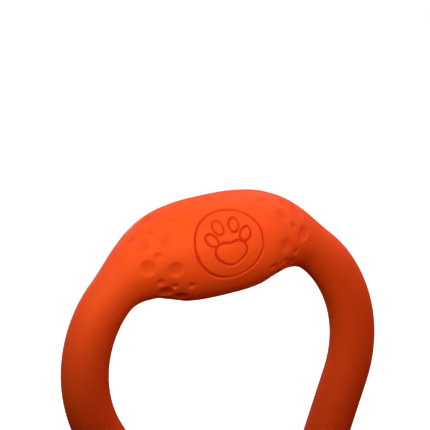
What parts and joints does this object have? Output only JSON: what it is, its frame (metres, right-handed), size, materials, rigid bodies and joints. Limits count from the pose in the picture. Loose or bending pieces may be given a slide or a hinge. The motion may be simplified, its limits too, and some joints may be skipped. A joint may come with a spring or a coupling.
{
  "type": "training bumper",
  "caption": "Orange rubber retrieve bumper: a dimpled lemon-shaped bulb on a closed pear-shaped carrying loop with a rounded hand bend.",
  "frame": {"origin": "middle of the hand bend's underside, on the loop's middle plane", "axes": "+Z from the hand bend up to the bulb, +X along the bulb to the right as seen from the marked face, which looks along -Y"},
  "size_m": [0.2166, 0.0634, 0.2808],
  "materials": {
    "moulded_rubber": "matte",
    "float_foam": "matte",
    "firm_rubber": "matte",
    "braided_rope": "woven",
    "crimped_aluminium": "satin"
  },
  "bodies": {
    "root": {"front_skin": "moulded_rubber", "rear_skin": "moulded_rubber", "bulb_float_front": "float_foam", "bulb_float_rear": "float_foam", "right_arm_core": "float_foam", "left_arm_core": "float_foam", "grip_core": "firm_rubber", "pull_rope": "braided_rope", "rope_ferrule": "crimped_aluminium"}
  },
  "joints": []
}
